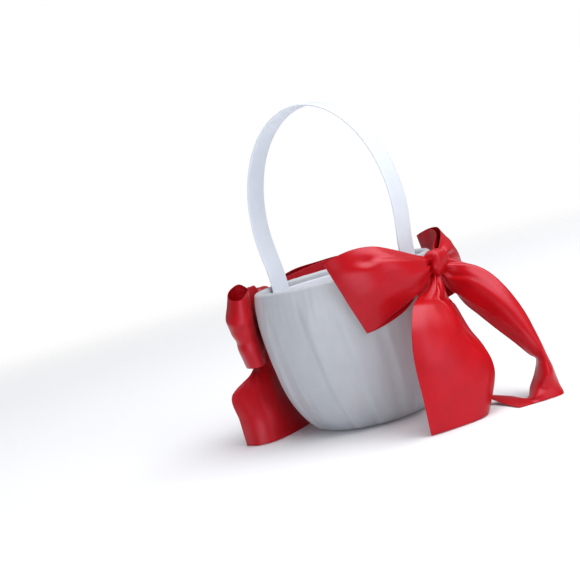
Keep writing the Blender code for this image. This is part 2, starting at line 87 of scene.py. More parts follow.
# ---------------------------------------------------------------- node helpers
class Nodes:
    """Short hand for building one shader's node tree."""

    def __init__(self, material):
        material.use_nodes = True
        self.tree = material.node_tree
        self.shader = self.tree.nodes["Principled BSDF"]

    def add(self, kind, **settings):
        node = self.tree.nodes.new(kind)
        for key, value in settings.items():
            if key in node.inputs:
                node.inputs[key].default_value = value
            else:
                setattr(node, key, value)
        return node

    def link(self, source, target):
        self.tree.links.new(source, target)

    def stretched(self, coords, scale):
        mapping = self.add("ShaderNodeMapping")
        mapping.inputs["Scale"].default_value = scale
        self.link(coords, mapping.inputs["Vector"])
        return mapping.outputs["Vector"]

    def noise(self, coords, scale, detail=3.0, rough=0.5, distortion=0.0):
        node = self.add("ShaderNodeTexNoise", Scale=1.0, Detail=detail, Roughness=rough, Distortion=distortion)
        self.link(self.stretched(coords, scale), node.inputs["Vector"])
        return node.outputs["Fac"]

    def wave(self, coords, scale, direction='X', distortion=0.0, detail=0.0):
        node = self.add("ShaderNodeTexWave", Scale=1.0, Distortion=distortion, Detail=detail)
        node.bands_direction = direction
        self.link(self.stretched(coords, scale), node.inputs["Vector"])
        return node.outputs["Fac"]

    def span(self, value, low, high, new_low, new_high, smooth=False):
        node = self.add("ShaderNodeMapRange")
        node.interpolation_type = 'SMOOTHSTEP' if smooth else 'LINEAR'
        self.link(value, node.inputs["Value"])
        for name, number in (("From Min", low), ("From Max", high), ("To Min", new_low), ("To Max", new_high)):
            node.inputs[name].default_value = number
        return node.outputs["Result"]

    def math(self, operation, a, b=None):
        node = self.add("ShaderNodeMath")
        node.operation = operation
        for socket, value in zip(node.inputs, (a, b)):
            if value is None:
                continue
            if isinstance(value, (int, float)):
                socket.default_value = value
            else:
                self.link(value, socket)
        return node.outputs["Value"]

    def mix(self, factor, a, b, blend='MIX'):
        node = self.add("ShaderNodeMix")
        node.data_type = 'RGBA'
        node.blend_type = blend
        if isinstance(factor, (int, float)):
            node.inputs[0].default_value = factor
        else:
            self.link(factor, node.inputs[0])
        for socket, value in ((node.inputs[6], a), (node.inputs[7], b)):
            if isinstance(value, tuple):
                socket.default_value = (*value, 1.0)
            else:
                self.link(value, socket)
        return node.outputs[2]

    def bump(self, height, strength, distance, normal=None):
        node = self.add("ShaderNodeBump", Strength=strength, Distance=distance)
        self.link(height, node.inputs["Height"])
        if normal is not None:
            self.link(normal, node.inputs["Normal"])
        return node.outputs["Normal"]

    def coords(self, name="UV"):
        return self.add("ShaderNodeTexCoord").outputs[name]

    def feed(self, name, value):
        if isinstance(value, (int, float)):
            self.shader.inputs[name].default_value = value
        elif isinstance(value, tuple):
            self.shader.inputs[name].default_value = (*value, 1.0)
        else:
            self.link(value, self.shader.inputs[name])


# ---------------------------------------------------------------- materials
def satin(name, colour, deep, rough, sheen, gloss, gloss_tint, selvedge=0.0):
    """Woven satin. UV is in centimetres: U across the warp, V along it.
    selvedge: how far the woven edges are from the middle, in centimetres, or 0 where there are none."""
    material = bpy.data.materials.new(name)
    n = Nodes(material)
    uv = n.coords("UV")
    streaks = n.noise(uv, (26.0, 1.6, 1.0), 4.0, 0.6)
    cloudy = n.noise(uv, (0.55, 0.4, 1.0), 3.0, 0.5)
    tone = n.mix(n.span(cloudy, 0.3, 0.7, 0.0, 0.55, True), colour, deep)
    tone = n.mix(n.span(streaks, 0.25, 0.75, 0.0, 0.22), tone, deep)
    warp = n.wave(uv, (9.0, 0.0, 0.0))
    floats = n.wave(uv, (4.5, 15.0, 0.0), 'Y', 0.6, 1.0)
    tone = n.mix(n.span(floats, 0.0, 1.0, 0.0, 0.10), tone, deep)
    height = n.math('ADD', n.math('MULTIPLY', warp, 0.5), n.math('MULTIPLY', floats, 0.5))
    height = n.math('ADD', height, n.math('MULTIPLY', streaks, 0.6))
    if selvedge:
        across = n.add("ShaderNodeSeparateXYZ")
        n.link(uv, across.inputs[0])
        from_middle = n.math('ABSOLUTE', across.outputs["X"])
        edge = n.span(from_middle, selvedge - 0.10, selvedge - 0.04, 0.0, 1.0, True)
        cord = n.wave(uv, (0.0, 11.0, 0.0), 'Y')
        tone = n.mix(n.math('MULTIPLY', edge, 0.45), tone, deep)
        height = n.math('ADD', height, n.math('MULTIPLY', edge, n.math('ADD', cord, 1.0)))
    n.feed("Base Color", tone)
    n.feed("Roughness", n.span(streaks, 0.25, 0.75, rough - 0.05, rough + 0.07))
    n.feed("Sheen Weight", sheen)
    n.feed("Sheen Roughness", 0.45)
    n.feed("Specular IOR Level", gloss)
    n.feed("Specular Tint", gloss_tint)
    n.feed("Normal", n.bump(height, 0.22, 0.00006))
    material.diffuse_color = (*colour, 1.0)
    return material


RED = satin("red_satin", (0.58, 0.0045, 0.009), (0.43, 0.002, 0.005), 0.32, 0.0, 0.42, (1.0, 0.62, 0.80), 3.17)
# The body's and base's satin is the same white satin as the handle and lining, painted a darker grey as painted shade
# for the shade the body stands in.
SHADED_WHITE = satin("white_satin", (0.56, 0.57, 0.60), (0.50, 0.51, 0.545), 0.42, 0.25, 0.38, (1.0, 1.0, 1.0))
LINING = satin("lining_satin", (0.92, 0.93, 0.97), (0.86, 0.88, 0.93), 0.46, 0.2, 0.38, (1.0, 1.0, 1.0))
HANDLE = satin("handle_satin", (0.86, 0.895, 0.955), (0.82, 0.855, 0.925), 0.38, 0.2, 0.38, (1.0, 1.0, 1.0))


def board_material():
    material = bpy.data.materials.new("grey_board")
    n = Nodes(material)
    place = n.coords("Object")
    fibres = n.noise(place, (900.0, 900.0, 240.0), 6.0, 0.65)
    flecks = n.noise(place, (2600.0, 2600.0, 2600.0), 2.0)
    tone = n.mix(n.span(fibres, 0.3, 0.7, 0.0, 1.0), (0.45, 0.43, 0.39), (0.34, 0.32, 0.29))
    tone = n.mix(n.span(flecks, 0.66, 0.74, 0.0, 0.6), tone, (0.16, 0.14, 0.12))
    n.feed("Base Color", tone)
    n.feed("Roughness", n.span(fibres, 0.2, 0.8, 0.82, 0.98))
    n.feed("Normal", n.bump(fibres, 0.5, 0.0002))
    return material


def wadding_material():
    material = bpy.data.materials.new("wadding_fibre")
    n = Nodes(material)
    place = n.coords("Object")
    tufts = n.noise(place, (260.0, 260.0, 260.0), 6.0, 0.75, 1.2)
    hairs = n.noise(place, (2200.0, 2200.0, 900.0), 3.0, 0.7, 2.5)
    n.feed("Base Color", n.mix(n.span(tufts, 0.3, 0.7, 0.0, 1.0), (0.90, 0.90, 0.88), (0.76, 0.76, 0.73)))
    n.feed("Roughness", n.span(hairs, 0.3, 0.7, 0.9, 1.0))
    n.feed("Sheen Weight", 0.6)
    n.feed("Normal", n.bump(n.math('ADD', tufts, n.math('MULTIPLY', hairs, 0.4)), 0.8, 0.0008))
    return material


def strip_material():
    material = bpy.data.materials.new("plastic_strip")
    n = Nodes(material)
    place = n.coords("Object")
    drawn = n.noise(place, (60.0, 2400.0, 60.0), 4.0, 0.6)
    haze = n.noise(place, (90.0, 90.0, 90.0), 3.0)
    n.feed("Base Color", n.mix(n.span(haze, 0.3, 0.7, 0.0, 1.0), (0.72, 0.74, 0.76), (0.64, 0.67, 0.70)))
    n.feed("Roughness", n.span(drawn, 0.2, 0.8, 0.24, 0.42))
    n.feed("Normal", n.bump(drawn, 0.2, 0.0001))
    return material


def brass_material():
    material = bpy.data.materials.new("brass")
    n = Nodes(material)
    place = n.coords("Object")
    scuffs = n.noise(place, (1800.0, 300.0, 1800.0), 4.0, 0.6)
    tarnish = n.noise(place, (500.0, 500.0, 500.0), 4.0, 0.6)
    n.feed("Base Color", n.mix(n.span(tarnish, 0.45, 0.75, 0.0, 0.8), (0.74, 0.55, 0.25), (0.40, 0.27, 0.11)))
    n.feed("Metallic", 1.0)
    n.feed("Roughness", n.span(scuffs, 0.2, 0.8, 0.22, 0.45))
    n.feed("Normal", n.bump(scuffs, 0.2, 0.00005))
    return material


def glue_material():
    material = bpy.data.materials.new("hot_glue")
    n = Nodes(material)
    place = n.coords("Object")
    blobs = n.noise(place, (420.0, 420.0, 420.0), 3.0, 0.5, 0.6)
    n.feed("Base Color", n.mix(n.span(blobs, 0.3, 0.7, 0.0, 1.0), (0.80, 0.75, 0.60), (0.70, 0.63, 0.46)))
    n.feed("Roughness", n.span(blobs, 0.3, 0.7, 0.28, 0.5))
    n.feed("Normal", n.bump(blobs, 0.4, 0.0004))
    return material


# ---------------------------------------------------------------- surface helpers
def weights(count, samples):
    """Catmull-Rom weights: one row for each sample, one column for each control point."""
    at = np.linspace(0.0, count - 1.0, samples)
    first = np.minimum(at.astype(int), count - 2)
    f = at - first
    parts = ((-f + 2 * f ** 2 - f ** 3) / 2, (2 - 5 * f ** 2 + 3 * f ** 3) / 2,
             (f + 4 * f ** 2 - 3 * f ** 3) / 2, (f ** 3 - f ** 2) / 2)
    table = np.zeros((samples, count))
    for step, part in zip((-1, 0, 1, 2), parts):
        np.add.at(table, (np.arange(samples), np.clip(first + step, 0, count - 1)), part)
    return table


def fine(net, along, across):
    """Smooth surface of along x across points through a net of control points."""
    net = np.array(net, float)
    return np.einsum('ia,abk,jb->ijk', weights(net.shape[0], along), net, weights(net.shape[1], across))


def normals_of(points):
    """Unit normals of a grid of points."""
    n = np.cross(np.gradient(points, axis=0), np.gradient(points, axis=1))
    return n / np.maximum(np.linalg.norm(n, axis=2, keepdims=True), 1e-9)


def lengths(points, axis):
    """Running length along one axis of a grid of points, starting at 0."""
    steps = np.linalg.norm(np.diff(points, axis=axis), axis=2)
    total = np.cumsum(steps, axis=axis)
    pad = [(0, 0), (0, 0)]
    pad[axis] = (1, 0)
    return np.pad(total, pad)


def smoothstep(x, low, high):
    t = np.clip((x - low) / (high - low), 0.0, 1.0)
    return t * t * (3 - 2 * t)


def waves(u, v, seed, count, low, high, slant=1.0):
    """Sum of a few soft waves with fixed random directions, about -1 to 1."""
    rng = np.random.default_rng(seed)
    total = np.zeros_like(u)
    for _ in range(count):
        f = rng.uniform(low, high)
        g = rng.uniform(-slant, slant)
        total = total + np.sin(TAU * (f * u + g * v) + rng.uniform(0, TAU)) * rng.uniform(0.5, 1.0)
    return total / math.sqrt(count)


def grid_object(name, points, uv, material, around=False):
    """Mesh object of a grid of points in millimetres; uv is in centimetres."""
    rows, columns = points.shape[:2]
    index = np.arange(rows * columns).reshape(rows, columns)
    right = np.roll(index, -1, axis=1) if around else index[:, 1:]
    left = index if around else index[:, :-1]
    a, b, c, d = left[:-1], right[:-1], right[1:], left[1:]
    faces = np.stack([a, b, c, d], -1).reshape(-1, 4)
    mesh = bpy.data.meshes.new(name)
    mesh.from_pydata((points.reshape(-1, 3) * MM).tolist(), [], faces.tolist())
    layer = mesh.uv_layers.new(name="UVMap")
    corner = np.empty(len(mesh.loops), np.int32)
    mesh.loops.foreach_get("vertex_index", corner)
    flat = uv.reshape(-1, 2)[corner]
    if around:      # the last column of faces runs on instead of jumping back
        quads = flat.reshape(-1, 4, 2)
        width = uv[:, 1, 0] - uv[:, 0, 0]
        last = (np.arange(len(faces)) % columns) == columns - 1
        row = np.arange(len(faces)) // columns
        for k, shift in ((1, 0), (2, 1)):
            quads[last, k, 0] = uv[(row[last] + shift), -1, 0] + width[row[last]]
        flat = quads.reshape(-1, 2)
    layer.data.foreach_set("uv", flat.astype(np.float32).ravel())
    mesh.materials.append(material)
    mesh.shade_smooth()
    mesh.update()
    obj = bpy.data.objects.new(name, mesh)
    bpy.context.scene.collection.objects.link(obj)
    return obj


def thicken(obj, thickness, offset=0.0, even_offset=True):
    """Give a surface the cloth's thickness in millimetres; offset -1 puts all of it behind the surface."""
    wall = obj.modifiers.new("cloth", 'SOLIDIFY')
    wall.thickness = thickness * MM
    wall.offset = offset
    wall.use_even_offset = even_offset
    return obj


def edit_mesh(obj, work):
    """Run work on the object's bmesh, then make all its faces point outwards."""
    edit = bmesh.new()
    edit.from_mesh(obj.data)
    work(edit)
    bmesh.ops.recalc_face_normals(edit, faces=edit.faces)
    edit.to_mesh(obj.data)
    edit.free()


def close_ends(obj, rows, columns):
    """Fill the two open ends of a tube of rows x columns points."""
    def fill(edit):
        edit.verts.ensure_lookup_table()
        for start in (0, (rows - 1) * columns):
            ring = [edit.verts[start + k] for k in range(columns)]
            edit.faces.new(ring if start else ring[::-1]).smooth = True
    edit_mesh(obj, fill)


# ---------------------------------------------------------------- basket body
# (radius, height) down the outside of the cover and down the outside of the board wall
SKIN = [(76.0, 121.0), (77.7, 111.0), (78.4, 97.0), (77.3, 79.0), (75.0, 60.0),
        (71.8, 41.0), (67.0, 26.0), (60.5, 13.5), (54.0, 5.0), (48.6, 0.9)]
WALL = [(73.1, 120.6), (73.1, 111.0), (72.8, 97.0), (71.7, 79.0), (69.9, 60.0),
        (67.0, 41.5), (62.6, 27.5), (57.0, 16.0), (53.2, 9.0), (51.4, 5.2)]
AROUND = 360                    # points round the body
RIM_RADIUS, RIM_HEIGHT, RIM_ROLL = 73.0, 121.0, 3.0
CLOTH, CARD_CLOTH = 0.3, 0.25   # thickness of the satin on the body and handle, and on the round cards
FLOOR_CLEARANCE = 0.25          # cloth over the floor stays this high
# each lap: angle at the rim, drift to the base, height in mm, width of its edge in degrees
TUCKS = [(-88, 9, 1.7, 1.3), (-70, 13, 1.6, 1.5), (-117, -6, 1.4, 1.6), (-46, 12, 1.0, 1.8), (-146, -8, 1.2, 1.8),
         (-20, 9, 0.9, 1.8), (12, 8, 1.1, 1.8), (41, -10, 1.2, 1.8), (69, 9, 1.1, 1.8), (98, -9, 1.2, 1.8),
         (127, 11, 1.1, 1.8), (158, -7, 1.2, 1.8)]


def even(profile, samples):
    """A profile of (radius, height) as evenly spaced points of a smooth curve."""
    curve = weights(len(profile), 400) @ np.array(profile, float)
    run = np.concatenate([[0.0], np.cumsum(np.linalg.norm(np.diff(curve, axis=0), axis=1))])
    at = np.linspace(0.0, run[-1], samples)
    return np.stack([np.interp(at, run, curve[:, k]) for k in (0, 1)], -1), at


def pushed(profile, distance):
    """A profile that runs down the wall, moved towards the axis by a distance."""
    line = np.array(profile, float)
    step = np.gradient(line, axis=0)
    step /= np.linalg.norm(step, axis=1, keepdims=True)
    return line + np.stack([step[:, 1], -step[:, 0]], -1) * distance


def revolved(profile):
    """Grid of points round the axis and the angle of each."""
    angle = np.linspace(0.0, TAU, AROUND, endpoint=False)
    r, z = profile[:, 0][:, None], profile[:, 1][:, None]
    grid = np.stack([r * np.cos(angle), r * np.sin(angle), z + 0 * angle], -1)
    return grid, np.broadcast_to(angle, grid.shape[:2])


def body_uv(grid, angle, run, radius):
    uv = np.empty(grid.shape[:2] + (2,))
    uv[..., 0] = angle * radius / 10.0
    uv[..., 1] = run[:, None] / 10.0
    return uv


def pleats(angle, depth, seed):
    """Soft lengthwise folds of cloth pulled over a tapering wall; depth 0 at the rim, 1 at the base."""
    rng = np.random.default_rng(seed)
    total = np.zeros_like(angle)
    for count in (5, 8, 13, 21):
        drift = rng.uniform(-0.5, 0.5)
        swell = 0.55 + 0.45 * np.sin(angle * rng.integers(2, 5) + rng.uniform(0, TAU))
        turn = angle * count + drift * depth * 4.0 + rng.uniform(0, TAU)
        total = total + (np.cos(turn) + 0.35 * np.cos(2 * turn + 0.8)) * swell / math.sqrt(count)
    return total


def tucks(angle, depth):
    """The few longer folds: each a lap with a crisp edge that starts under the rim and drifts round on its way
    down, and flattens out slowly behind the edge."""
    total = np.zeros_like(angle)
    for start, drift, height, width in TUCKS:
        from_line = np.angle(np.exp(1j * (angle - np.radians(start + drift * depth))))
        side = np.sign(drift) * np.degrees(from_line)
        lap = 0.5 * (1 + np.tanh(side / width)) * np.exp(-np.maximum(side, 0.0) / 13.0)
        hollow = -0.35 * np.exp(-((side + 2.2 * width) / (2.0 * width)) ** 2)
        total = total + height * (lap + hollow)
    return total


def outer_cover():
    """Satin from inside the rim, over it, down the wall and under the base's edge."""
    turned_in = [(70.0, 108.0), (70.0, 114.0)]
    roll = [(RIM_RADIUS - RIM_ROLL * math.cos(math.radians(a)), RIM_HEIGHT + RIM_ROLL * math.sin(math.radians(a)))
            for a in (0, 30, 60, 90, 120, 150)]
    under = [(44.0, 0.75)]
    rows = 150
    profile, run = even(turned_in + roll + SKIN + under, rows)
    grid, angle = revolved(profile)
    depth = (run / run[-1])[:, None] + 0 * angle
    out = normals_of(np.concatenate([grid, grid[:, :1]], 1))[:, :-1]
    middle = rows // 2
    if (out[middle, :, 0] * grid[middle, :, 0]).mean() < 0:
        out = -out
    below_rim = smoothstep(depth, 0.17, 0.36) * (1 - smoothstep(depth, 0.93, 0.985))
    pucker = smoothstep(depth, 0.10, 0.2) * (1 - smoothstep(depth, 0.24, 0.38))
    lift = (0.85 * pleats(angle, depth, 4) + tucks(angle, depth)) * below_rim
    lift += 0.10 * np.cos(angle * 74 + 2 * np.sin(angle * 5)) * pucker
    lift += 0.10 * waves(angle * 3.0, depth * 2.0, 9, 6, 1.0, 3.0)
    points = grid + out * lift[..., None]
    points[..., 2] = np.maximum(points[..., 2], FLOOR_CLEARANCE)
    uv = body_uv(grid, angle, run, 76.0)
    obj = thicken(grid_object("outer_cover_satin", points, uv, SHADED_WHITE, True), CLOTH, -1)
    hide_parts("outer_cover")
    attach(obj, "basket")
    return obj


def lining():
    """Satin down the inside of the board wall, finely gathered."""
    inner = pushed(WALL, 3.6)
    inner[0] = (69.6, 118.8)
    profile, run = even([tuple(p) for p in inner] + [(44.0, 6.75)], 110)
    grid, angle = revolved(profile)
    depth = (run / run[-1])[:, None] + 0 * angle
    inward = -grid * (1, 1, 0) / np.maximum(np.linalg.norm(grid[..., :2], axis=2, keepdims=True), 1e-6)
    lift = (0.28 * pleats(angle, depth, 21) + 0.10 * np.cos(angle * 88)) * smoothstep(depth, 0.02, 0.2)
    lift = lift * (1 - smoothstep(depth, 0.9, 0.99)) + 0.05
    points = grid + inward * lift[..., None]
    uv = body_uv(grid, angle, run, 69.0)
    obj = thicken(grid_object("lining_satin", points, uv, LINING, True), CLOTH, 0)
    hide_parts("lining_wall")
    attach(obj, "basket")
    return obj


def round_cloth(name, radius, height, up, material, seed, lift):
    """Cloth drawn over a round card: soft crown, small puckers round the edge."""
    edge = 1.5
    r = np.concatenate([np.linspace(0.4, radius - edge, 44), radius - edge + edge * np.sin(np.linspace(0.2, 1.4, 6))])
    profile = np.stack([r, np.full(len(r), height)], -1)
    grid, angle = revolved(profile)
    share = (r / radius)[:, None] + 0 * angle
    crown = lift * (1 - share ** 4)
    pucker = 0.12 * np.cos(angle * 46 + 2 * np.sin(3 * angle)) * smoothstep(share, 0.75, 0.97)
    soft = 0.16 * waves(grid[..., 0] / 60, grid[..., 1] / 60, seed, 6, 0.6, 2.0)
    grid[..., 2] += up * (crown + (pucker + soft) * (1 - smoothstep(share, 0.97, 1.0)))
    grid[..., 2] -= up * 0.5 * smoothstep(share, 0.96, 1.0)
    uv = grid[..., :2] / 10.0
    return thicken(grid_object(name, grid, uv, material, True), CARD_CLOTH, 0)


# ---------------------------------------------------------------- handle
FOOT_X, ARCH_X, FOOT_BOTTOM, RIM_LEVEL, SPRING_LEVEL, ARCH_TOP = 65.5, 70.0, 90.0, 124.0, 172.0, 266.0
BAND_HALF_WIDTH, BAND_HALF_THICKNESS, BAND_SIDES = 11.9, 1.05, 64


def handle_line(samples):
    """Middle line of the band in the XZ plane, from the left foot over the arch to the right foot."""
    leg = [(FOOT_X, z) for z in np.linspace(FOOT_BOTTOM + 0.4, RIM_LEVEL, 12)]
    for t in np.linspace(0.05, 1, 20):
        leg.append((FOOT_X + (ARCH_X - FOOT_X) * (0.5 - 0.5 * math.cos(math.pi * t)),
                    RIM_LEVEL + (SPRING_LEVEL - RIM_LEVEL) * t))
    arch = [(ARCH_X * math.cos(math.pi * k / 90), SPRING_LEVEL + (ARCH_TOP - SPRING_LEVEL) * math.sin(math.pi * k / 90))
            for k in range(1, 90)]
    line = np.array([(-x, z) for x, z in leg] + [(-x, z) for x, z in arch] + leg[::-1], float)
    run = np.concatenate([[0.0], np.cumsum(np.linalg.norm(np.diff(line, axis=0), axis=1))])
    at = np.linspace(0.0, run[-1], samples)
    return np.stack([np.interp(at, run, line[:, k]) for k in (0, 1)], -1), at


def handle():
    """Satin sleeve: a flat band with soft edges, a little crowned."""
    line, run = handle_line(420)
    ahead = np.gradient(line, axis=0)
    ahead /= np.linalg.norm(ahead, axis=1, keepdims=True)
    outward = np.stack([-ahead[:, 1], ahead[:, 0]], -1)
    turn = np.linspace(0.0, TAU, BAND_SIDES, endpoint=False)
    c, s = np.cos(turn), np.sin(turn)
    y = np.sign(c) * np.abs(c) ** 0.42 * BAND_HALF_WIDTH
    t = np.sign(s) * np.abs(s) ** 0.55 * BAND_HALF_THICKNESS * (1 + 0.08 * (1 - (y / 12) ** 2))
    yy = np.broadcast_to(y, (len(line), BAND_SIDES)).copy()
    tt = np.broadcast_to(t, (len(line), BAND_SIDES)).copy()
    along = (run / 10.0)[:, None] + 0 * yy
    face = 1 - np.abs(yy / 12.0) ** 8
    tt += 0.07 * waves(along * 0.35, yy / 30, 31, 6, 0.4, 1.6, 1.2) * face * np.sign(tt)
    edge_line = 0.10 * waves(along * 0.2, yy * 0, 33, 4, 0.5, 1.5)
    yy += edge_line * np.sign(yy) * (np.abs(yy) > 11)
    grid = np.empty(yy.shape + (3,))
    grid[..., 0] = line[:, :1] + outward[:, :1] * tt
    grid[..., 1] = yy
    grid[..., 2] = line[:, 1:] + outward[:, 1:] * tt
    uv = np.empty(yy.shape + (2,))
    uv[..., 0] = (turn / TAU * 5.2)[None, :]
    uv[..., 1] = along
    obj = thicken(grid_object("handle_satin_sleeve", grid, uv, HANDLE, True), CLOTH, -1)
    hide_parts("handle_cover")
    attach(obj, "basket")
    return obj


# ---------------------------------------------------------------- ribbon
RIBBON_HALF = 31.75             # half the width of the ribbon
RIBBON_CLOTH = 0.35
LOOP_POINTS = 9                 # control points across a loop


def ribbon(name, net, along, across, node, body, folds, seed, creases=(), bend=None, reach=30.0):
    """Satin ribbon through a net of control points, its first row in the knot.
    folds: number and depth of the gathers where it leaves the knot; reach: how far they run.
    bend: None for a loop, whose gathers then fade from both ends and which is attached to the basket; a tail passes two
    points here, which are not used.
    creases: dents and ridges, each (place along 0..1, place across -1..1, slant, length, width, height)."""
    points = fine(net, along, across)
    out = normals_of(points)
    u = np.linspace(-1.0, 1.0, across)[None, :] + np.zeros((along, 1))
    run = lengths(points, 0)
    total = run[-1].mean()
    count, depth = folds
    rng = np.random.default_rng(seed)
    near = np.minimum(run, run[-1] - run) if bend is None else run
    fade = np.exp(-(near / reach) ** 1.3)
    phase = rng.uniform(0, TAU)
    gather = np.cos(math.pi * count * u + phase + 0.6 * np.sin(2.2 * u + phase))
    gather = gather + 0.35 * np.cos(2 * math.pi * count * u + 1.7 * phase)
    lift = depth * gather * fade
    lift += 0.22 * waves(run / 60, u * 0.5, seed + 1, 5, 0.3, 1.0)
    for place, side, slant, length, width, height in creases:
        s = run - place * total
        w = u * RIBBON_HALF - side * RIBBON_HALF - slant * s
        lift += height * np.exp(-(s / length) ** 2 - (w / width) ** 2)
    points = points + out * lift[..., None]
    points[..., 2] = np.maximum(points[..., 2], FLOOR_CLEARANCE)
    uv = np.empty(points.shape[:2] + (2,))
    uv[..., 0] = u * RIBBON_HALF / 10.0
    uv[..., 1] = run.mean(axis=1)[:, None] / 10.0
    obj = thicken(grid_object(name, points, uv, RED), RIBBON_CLOTH, even_offset=False)
    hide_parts(node)
    if bend is None:
        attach(obj, body)
    else:
        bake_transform(obj)


def loop_net(stops, bow_angle):
    """Rows across a bow loop, in cylinder coordinates round the basket. Each stop: angle from the bow and height of
    the bottom edge, angle and height of the top edge, then five radii from the bottom edge to the top edge."""
    net = []
    share = np.linspace(0.0, 1.0, LOOP_POINTS)
    for low_angle, low, top_angle, top, radii in stops:
        a = np.radians(bow_angle + low_angle + (top_angle - low_angle) * share)
        r = weights(len(radii), LOOP_POINTS) @ np.array(radii, float)
        net.append(np.stack([r * np.cos(a), r * np.sin(a), low + (top - low) * share], -1))
    return net


FALL = math.radians(36.0)       # the bows' tails are laid out across and along this direction, seen from above


def tail_net(rows):
    """Rows of (across, forward, height) as points of the row frame."""
    across = np.array((math.cos(FALL), math.sin(FALL), 0.0))
    forward = np.array((math.sin(FALL), -math.cos(FALL), 0.0))
    rows = np.array(rows, float)
    return rows[..., :1] * across + rows[..., 1:2] * forward + rows[..., 2:] * np.array((0.0, 0.0, 1.0))


RIGHT_FRONT_LOOP = [
    (-6.5, 108, -6.5, 122, (84.6, 84.6, 84.6, 84.6, 84.6)),
    (-14, 98, -15, 126, (81, 81, 81, 81, 80.5)),
    (-25.5, 87.5, -28.5, 130, (80.3, 80.3, 80.3, 80.2, 79)),
    (-37, 82, -45, 134.5, (80.2, 80.2, 80.2, 80.2, 79)),
    (-47, 79, -57, 137, (80.8, 80.8, 80.8, 80.5, 79.6)),
    (-52.2, 78.6, -65, 138, (83.2, 84.5, 85.5, 84.8, 82.6)),
    (-46.5, 81, -58.5, 141.5, (87, 91, 92, 90.5, 85.8)),
    (-38.5, 87.5, -48.5, 143.5, (90, 95.5, 97, 95, 85.5)),
    (-30.5, 93, -37.5, 141.5, (92.5, 97.5, 99.2, 97, 84.5)),
    (-22.5, 97.5, -26.5, 135, (94, 98, 99.2, 96, 84)),
    (-14.5, 102, -16, 127.5, (91.5, 95, 96, 93.5, 86)),
    (-9.5, 106, -10, 124, (88.5, 90.5, 91.2, 90, 87)),
    (-6.5, 108, -6.5, 122, (87.5, 87.8, 88, 87.8, 87.5)),
]

RIGHT_BACK_LOOP = [
    (6.5, 108, 6.5, 122, (84.6, 84.6, 84.6, 84.6, 84.6)),
    (14, 97, 15, 128, (81, 81, 81, 81.3, 82.5)),
    (28, 85, 29, 134.5, (80.3, 80.3, 80.5, 82.5, 84.3)),
    (43, 79, 45, 138, (80.2, 80.2, 80.6, 83.6, 85)),
    (54, 76, 56, 137, (80.6, 80.6, 80.8, 82.8, 83)),
    (60.5, 74.5, 63, 134.5, (83.4, 84, 84.5, 84.2, 82.8)),
    (55, 75.5, 57, 137.5, (88, 90, 90, 88.4, 86.4)),
    (45.5, 79.5, 48, 139, (91, 96.5, 96.8, 93.4, 88)),
    (36, 84.5, 38.5, 138.5, (91, 98.5, 99, 95, 88.4)),
    (26, 91.5, 27.5, 135, (91.5, 96, 97, 94.8, 87.8)),
    (16, 99.5, 16.5, 129, (90, 92.5, 93.5, 92.5, 87)),
    (10, 105.5, 10.3, 124, (88, 89, 89.6, 89, 86.5)),
    (6.5, 108, 6.5, 122, (87.5, 87.8, 88, 87.8, 87.5)),
]

LEFT_FRONT_LOOP = [
    (6.5, 108, 6.5, 122, (84.6, 84.6, 84.6, 84.6, 84.6)),
    (12, 98, 12, 129, (81, 81, 81, 81, 81)),
    (22, 84, 22, 130, (80.5, 80.5, 80.5, 80.5, 80.5)),
    (33, 72.5, 33, 131, (81, 81, 81, 80.6, 79.6)),
    (42, 67, 42.5, 129, (82, 82.5, 82.5, 81.8, 80.4)),
    (46, 65.5, 47.5, 124, (87, 88.5, 89, 88.6, 87.6)),
    (42.5, 65.5, 43.5, 124.5, (94.5, 97.5, 99, 98.5, 95)),
    (34, 66.5, 34.5, 128, (98.5, 101, 103.3, 103, 98)),
    (23.5, 74, 23.5, 131.5, (98, 101, 103, 102.5, 98)),
    (13, 91.5, 13, 133.5, (93.5, 94.5, 95.5, 96, 95.5)),
    (8.8, 101.5, 8.8, 127.5, (90, 91, 91.5, 91.5, 91)),
    (6.5, 108, 6.5, 122, (87.5, 87.8, 88, 87.8, 87.5)),
]

LEFT_BACK_LOOP = [
    (-6.5, 108, -6.5, 122, (84.6, 84.6, 84.6, 84.6, 84.6)),
    (-14, 98, -14, 126, (81, 81, 81, 81, 80.5)),
    (-26, 84, -28, 129, (80.3, 80.3, 80.3, 80.2, 79.5)),
    (-39, 74, -43.5, 131.5, (80.2, 80.2, 80.2, 80.2, 79)),
    (-48, 70.5, -55.5, 132, (80.8, 80.8, 80.8, 80.6, 80)),
    (-53.5, 70, -62, 131.5, (83.2, 84.5, 85, 84.5, 83)),
    (-48, 71, -56.5, 133, (88, 91, 91.5, 89, 83.5)),
    (-38.5, 76, -44.5, 132.5, (91, 95.5, 96.5, 94, 85)),
    (-26, 86, -29, 131.5, (92, 96, 97.5, 95, 88)),
    (-14.5, 99, -15, 126.5, (90.5, 92.8, 94, 93, 89.5)),
    (-9.5, 105.5, -9.8, 123.5, (88, 89, 89.6, 89, 87)),
    (-6.5, 108, -6.5, 122, (87.5, 87.8, 88, 87.8, 87.5)),
]

